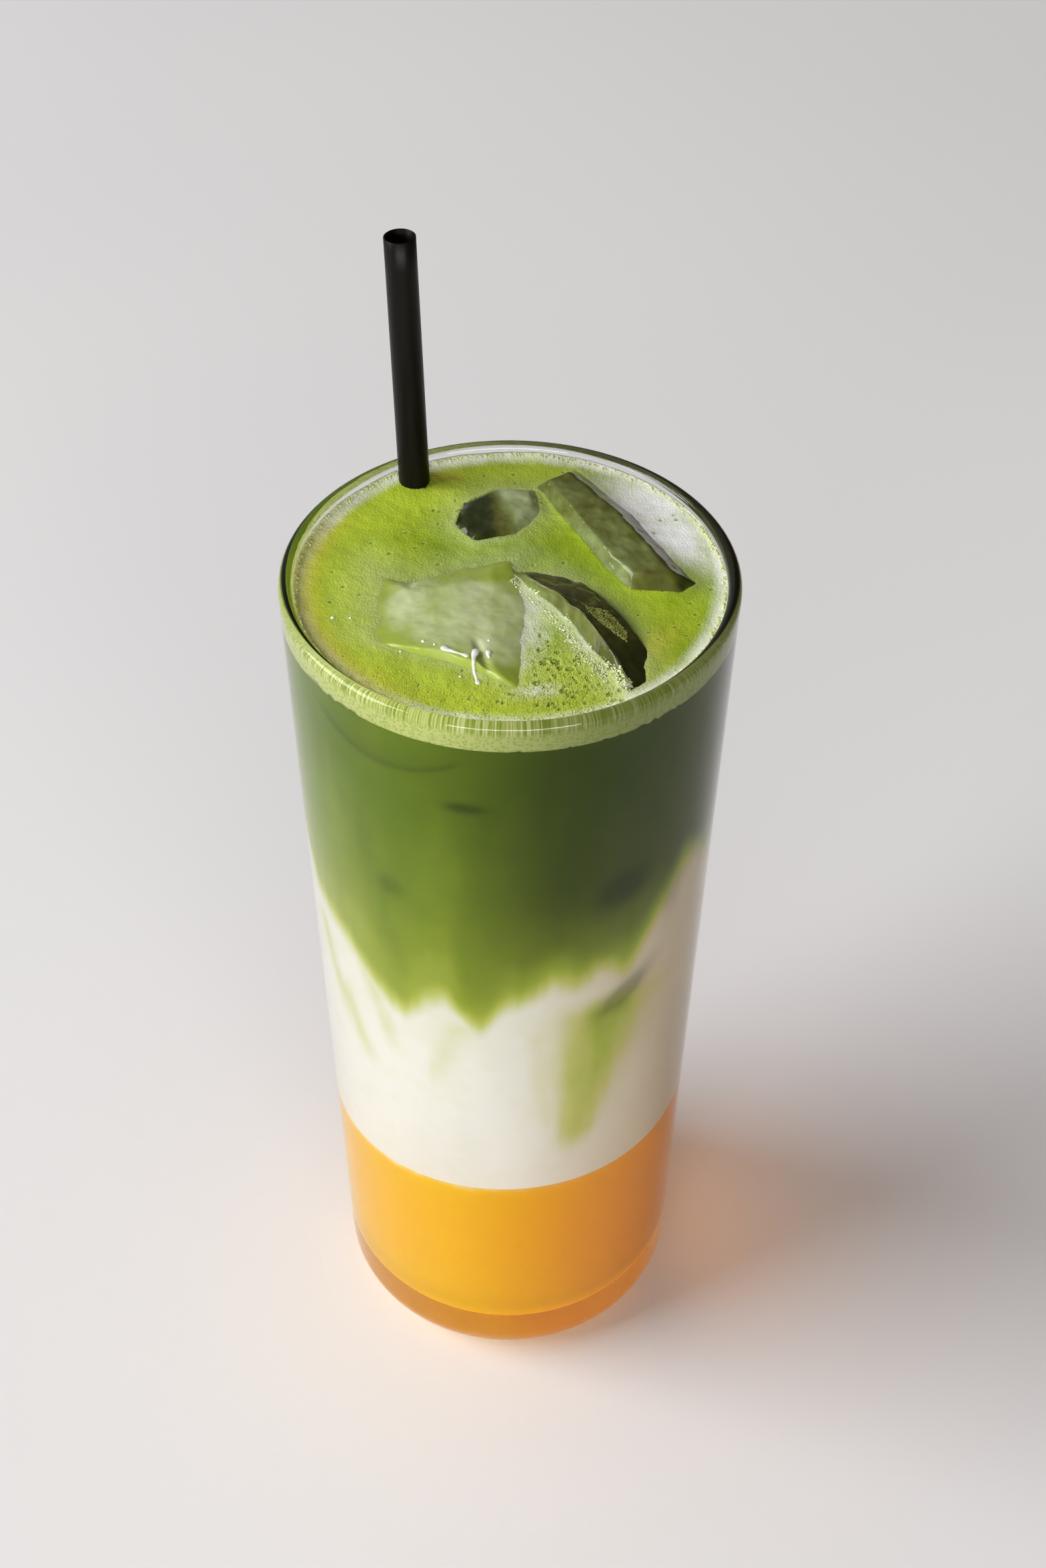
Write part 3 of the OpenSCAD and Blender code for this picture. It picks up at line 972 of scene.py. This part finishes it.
def frothOnGlass():
    # froth pressed on the glass: pale yellow-green, speckled with flattened bubbles, no gloss of its own
    material, tree, shader, place = newMaterial("matcha froth, pressed on glass", {"Roughness": 0.5,
            "IOR": 1.33, "Specular IOR Level": 0.05})
    cells = addNode(tree, "TexVoronoi", {"feature": "F1"}, {"Scale": 1 / (0.55 * mm)}, {"Vector": place})
    tone = addNode(tree, "ValToRGB", links={"Fac": cells})
    setStops(tone, [(0.0, "#8E9B36"), (0.16, "#B9C564"), (0.6, "#D4DB8C")])
    # runs of froth that the lip draws out into upright streaks
    upright = addNode(tree, "Mapping", values={"Scale": (1, 1, 0.06)}, links={"Vector": place})
    runs = addNode(tree, "TexNoise", values={"Scale": 1 / (0.3 * mm), "Detail": 2.0},
            links={"Vector": upright})
    axes = addNode(tree, "SeparateXYZ", links={"Vector": place})
    high = addNode(tree, "MapRange", links={"Value": axes.outputs["Z"]},
            values={"From Min": froth["streaks"][0] * mm, "From Max": froth["streaks"][1] * mm})
    runTone = addNode(tree, "ValToRGB", links={"Fac": runs})
    setStops(runTone, [(0.38, "#94A63A"), (0.5, "#BAC65C"), (0.62, "#DFE49C")])
    both = addNode(tree, "Mix", {"data_type": "RGBA"}, links={0: high, 6: tone, 7: runTone})
    addLinks(tree, shader, {"Base Color": tintBy(tree, both.outputs[2], "shade", "#3A4416")})
    return material


def makeCutters():
    # shrunken copies of the ice, and a rod for the straw, so that the drink reaches just into each
    cutters = []
    for piece in iceAll:
        copy = bpy.data.objects.new("cutter", piece.data.copy())
        bpy.context.scene.collection.objects.link(copy)
        setPoints(copy, pointsOf(piece) - normalsOf(piece) * froth["cutterInset"])
        cutters.append(copy)
    outer = straw["diameter"] / 2 - froth["cutterInset"]
    rings = tubeRings(strawFoot, strawTop, [(outer, f) for f in np.linspace(0.3, 0.95, 4)], 48)
    points, faces = loftRings(rings, rings[0].mean(0), rings[-1].mean(0))
    rod = addPiece("cutter", points, faces, [])
    faceOutwards(rod)
    cutters.append(rod)
    return cutters


cutters = makeCutters()
frothPiece = makeFroth([whiskedFroth(), frothOnGlass()], cutters)
cutWith(matcha, cutters)
for cutter in cutters:
    bpy.data.objects.remove(cutter)


def tintLayers():
    # mixing, ice marks, painted shade and painted warm shade, set on the final meshes
    for piece in (matcha, milk):
        points = pointsOf(piece)
        share = teaShare(points)
        setValues(piece, "share", share)
        setValues(piece, "shade", iceMarksAndSideShade(points))
        setValues(piece, "warm", paintedWarmShade(points, -0.1, drink["warmShadeStrength"]) * (1 - smooth(0.2, 0.55, share)))
    points = pointsOf(mango)
    edge = 0.7 * (mangoHeight(azimuthOf(points)) - points[:, 2]) + 0.3 * roughNoise(points / 2, 2, 3)
    setValues(mango, "share", smooth(-0.5, drink["mangoBlend"] * 2.2, edge))
    # where the painted glow shows: faces that look down
    setValues(mango, "under", smooth(0.25, 0.9, -normalsOf(mango)[:, 2]))
    # painted warm shade: the mango more orange on the side away from the window
    setValues(mango, "warm", paintedWarmShade(points, -0.5, 1.0))


tintLayers()
print("froth made:", len(frothPiece.data.polygons), "faces; matcha", len(matcha.data.polygons))


# bubbles and melt water

specks = {
    "seed": 19,
    "tries": 60000,
    "frothCount": 2600,
    "fringeCount": 3000,
    "rimCount": 900,
    "patchCount": 750,
    "patch": [(11.2, -8), (14.6, -8.2), (17.3, -12.8), (17.2, -15.4), (13.9, -12.3), (11.6, -9.6)],
    # paths of melt water on the slab, whose white is a painted highlight: places and radius
    "rivulets": [([(-9.6, -17.1), (-8.2, -17.8), (-6.1, -18.7)], 0.5),
                 ([(-5.0, -17.6), (-5.2, -20.2), (-4.3, -23.2)], 0.52),
                 ([(-3.1, -17.6), (-3.0, -18.7)], 0.4)],
    "drops": [(-12.6, -15.3, 0.3), (-26.3, -8.7, 0.34), (-23.7, -8.8, 0.2), (-3, -14.9, 0.2), (-7, -22, 0.25),
              (-15.9, -16.5, 0.22), (-10.9, -16.2, 0.2)],
}


def beadCloud(name, beads, material, subdivisions):
    # many little balls as one mesh; each bead is x, y, z, radius and how flat it lies
    work = bmesh.new()
    bmesh.ops.create_icosphere(work, subdivisions=subdivisions, radius=1)
    ball = np.array([v.co for v in work.verts])
    triangles = np.array([[v.index for v in f.verts] for f in work.faces])
    work.free()
    beads = np.array(beads)
    size = beads[:, None, 3:4] * columns(1, 1, beads[:, 4])[:, None]
    points = (beads[:, None, :3] + ball[None] * size).reshape(-1, 3)
    faces = (triangles[None] + (np.arange(len(beads)) * len(ball))[:, None, None]).reshape(-1, 3)
    piece = addPiece(name, points, faces, [material])
    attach(piece, "root")
    return piece


def bubbleSkin(name, hexLow, hexHigh):
    # tiny froth bubbles: thin wet skins that scatter light, each a little different in tone
    values = {"Roughness": 0.2, "IOR": 1.33, "Subsurface Weight": 0.3, "Subsurface Scale": 1.0,
              "Subsurface Radius": (0.3 * mm, 0.35 * mm, 0.2 * mm)}
    return mottled(name, values, 1 / (0.8 * mm), [(0.3, hexLow), (0.7, hexHigh)])


def surfaceLevel(x, y):
    # the froth, or the ice where that stands higher
    level = frothHeight(x, y, np.full(len(x), 99.0))
    for name in iceSpecs:
        level = np.maximum(level, frothZ + iceTop(name, x, y))
    return level


def frothBeads(name, x, y, size, lift, flat, skin):
    # bubbles lying on the froth or the ice; lift and flat are shares of their radius
    level = surfaceLevel(x, y) + lift * size
    beadCloud(name, columns(x, y, level, size, flat), bubbleSkin(*skin), 1)


def makeBubbles():
    rng = np.random.default_rng(specks["seed"])
    # pin-prick bubbles in the froth, thickest at the front right
    x, y = rng.uniform(-32, 32, (2, specks["tries"]))
    chance = 0.8 * spot(x, y, (9, -21), (11, 7), -30) + 0.25 * (1 - smooth(-26, -14, y))
    keep = (np.hypot(x, y) < 32) & (rng.random(specks["tries"]) < chance)
    for name, most in (("ridge_ice", -0.2), ("slab_ice", -0.1), ("bar_ice", 0), ("chip_ice", 0)):
        keep &= iceTop(name, x, y) < most
    x, y = x[keep][:specks["frothCount"]], y[keep][:specks["frothCount"]]
    size = 0.08 + 0.09 * rng.random(len(x)) ** 2
    frothBeads("froth_specks", x, y, size, 0, 0.7, ("matcha froth, burst fine", "#A9BD38", "#C6D468"))

    # white fringe along the left foot of the ridge, wider towards the glass
    along = rng.uniform(-14.5, 16.5, specks["fringeCount"])
    foot = np.interp(along, [-15.3, -9.6, -1.6, 6.3, 15.3], [-4.4, -3.7, -3.7, -4.9, -5.0])
    spread = np.interp(along, [-15, 0, 10, 16], [0.5, 1.1, 1.6, 1.4])
    across = foot + 0.1 - spread * np.abs(rng.normal(0, 0.8, len(along))) + 0.3 * rng.random(len(along))
    x, y = placeBack("ridge_ice", along, across)
    keep = np.hypot(x, y) < 32.2
    x, y = x[keep], y[keep]
    size = 0.08 + 0.16 * rng.random(len(x)) ** 2
    frothBeads("froth_fringe", x, y, size, 0.15, 0.7, ("milk froth, clustered", "#B9C878", "#E9EECB"))

    # bubbles stranded on the ridge's top
    x, y = rng.uniform(10, 18.5, 9000), rng.uniform(-16.5, -7, 9000)
    keep = insideOutline(x, y, specks["patch"])
    x, y = x[keep][:specks["patchCount"]], y[keep][:specks["patchCount"]]
    size = 0.08 + 0.09 * rng.random(len(x))
    skin = ("matcha froth, stranded on ice", "#7C8434", "#A4AC5C")
    frothBeads("stranded_froth", x, y, size, 0.1, 0.8, skin)

    # a string of bubbles where the froth meets the glass
    azimuth = rng.uniform(0, 360, specks["rimCount"])
    size = 0.12 + 0.16 * rng.random(len(azimuth)) ** 2
    radius = innerRadius(frothZ) - size - 0.05 - 0.5 * rng.random(len(azimuth)) ** 2
    x, y, _ = wallPoint(azimuth, 0, radius).T
    frothBeads("rim_beads", x, y, size, 0.2, 0.9, ("matcha froth, drying at the rim", "#C4CC74", "#E6E9B4"))


def meltWaterAndHighlight():
    # melt water lying on ice: a bulging film with a glossy coat; its near-white colour is a painted
    # highlight, standing in for the window it catches
    values = {"Roughness": 0.04, "IOR": 1.33, "Coat Weight": 1.0, "Coat Roughness": 0.02}
    return mottled("melt water, standing", values, 1 / (1.5 * mm), [(0.35, "#D9E2C6"), (0.6, "#FBFCF8")])


def makeMeltWater():
    beads = []
    for path, size in specks["rivulets"]:
        path = np.array(path)
        steps = np.linspace(0, len(path) - 1, 16 * (len(path) - 1) + 1)
        x = np.interp(steps, range(len(path)), path[:, 0]) + 0.12 * wave(steps * 2.1, 5)
        y = np.interp(steps, range(len(path)), path[:, 1])
        thick = size * (0.75 + 0.45 * wave(steps * 1.3, 7))
        beads += list(columns(x, y, surfaceLevel(x, y), thick, 0.5))
    x, y, size = np.array(specks["drops"]).T
    beads += list(columns(x, y, surfaceLevel(x, y), size, 0.6))
    beadCloud("melt_water", beads, meltWaterAndHighlight(), 3)


makeBubbles()
makeMeltWater()
print("bubbles and melt water made")


# floor, light and camera

studio = {
    "floorSize": 9.0,
    "floorDrop": 0.05,
    "roomGlow": 0.42,
    # name, place, aim, size, watts, colour; the glow is light that the mango lets through beside the base
    "lamps": [("window", (-2.25, -0.3, 1.5), (0, 0, 0.08), (2.1, 1.8), 82, "#FFFFFF"),
              ("fill", (0.1, -2.68, 0.5), (0, 0, 0.08), (3.0, 0.85), 72, "#FFFFFF"),
              ("mango glow", (0.036, 0.004, 0.024), (1.036, 0.104, -0.426), (0.04, 0.03), 0.0028, "#FFA22C")],
    "cameraPlace": (2.2, -293, 394),
    "cameraDown": 43.2,
    "cameraRoll": 0.5,
    "lens": 56.66,
}


def paintedTable():
    # white table top, painted and rubbed down: pale, nearly plain, with hardly any gloss
    values = {"Roughness": 0.6, "IOR": 1.5, "Specular IOR Level": 0.1}
    return mottled("table top, flat white paint", values, 4.0, [(0.3, "#E9E8EA"), (0.7, "#EDECED")])


def makeStudio():
    half = studio["floorSize"] / 2 / mm
    drop = -studio["floorDrop"]
    points = [(-half, -half, drop), (half, -half, drop), (half, half, drop), (-half, half, drop)]
    floor = addPiece("table", points, [(0, 1, 2, 3)], [paintedTable()])

    world = bpy.data.worlds.new("soft room")
    bpy.context.scene.world = world
    world.use_nodes = True
    tree = world.node_tree
    tree.nodes.clear()
    place = addNode(tree, "TexCoord")
    axes = addNode(tree, "SeparateXYZ", links={"Vector": place.outputs["Generated"]})
    across = addNode(tree, "MapRange", values={"From Min": -1.0, "From Max": 1.0},
            links={"Value": axes.outputs["X"]})
    tone = addNode(tree, "ValToRGB", links={"Fac": across})
    setStops(tone, [(0.0, "#FFFFFF"), (0.4, "#C8C9CC"), (0.6, "#94806E"), (1.0, "#7A5A3C")])
    glow = addNode(tree, "Background", values={"Strength": studio["roomGlow"]}, links={"Color": tone})
    addNode(tree, "OutputWorld", links={"Surface": glow})

    for name, place, aim, size, power, hexCode in studio["lamps"]:
        data = bpy.data.lights.new(name, "AREA")
        data.shape = "RECTANGLE"
        data.size, data.size_y = size
        data.energy = power
        data.color = linearColour(hexCode)[:3]
        lamp = bpy.data.objects.new(name, data)
        lamp.location = place
        lamp.rotation_euler = (Vector(aim) - Vector(place)).to_track_quat("-Z", "Y").to_euler()
        lamp.visible_camera = False
        if name == "mango glow":
            lamp.visible_glossy = lamp.visible_transmission = False
        bpy.context.scene.collection.objects.link(lamp)

    data = bpy.data.cameras.new("camera")
    data.lens = studio["lens"]
    data.sensor_fit = "VERTICAL"
    data.sensor_height = 36
    data.clip_start = 0.01
    camera = bpy.data.objects.new("camera", data)
    tilt = Matrix.Rotation(math.radians(90 - studio["cameraDown"]), 4, "X")
    roll = Matrix.Rotation(math.radians(studio["cameraRoll"]), 4, "Z")
    camera.matrix_world = Matrix.Translation(Vector(studio["cameraPlace"]) * mm) @ tilt @ roll
    bpy.context.scene.collection.objects.link(camera)
    bpy.context.scene.camera = camera
    bpy.context.scene.view_settings.view_transform = "Standard"


makeStudio()
print("studio made")
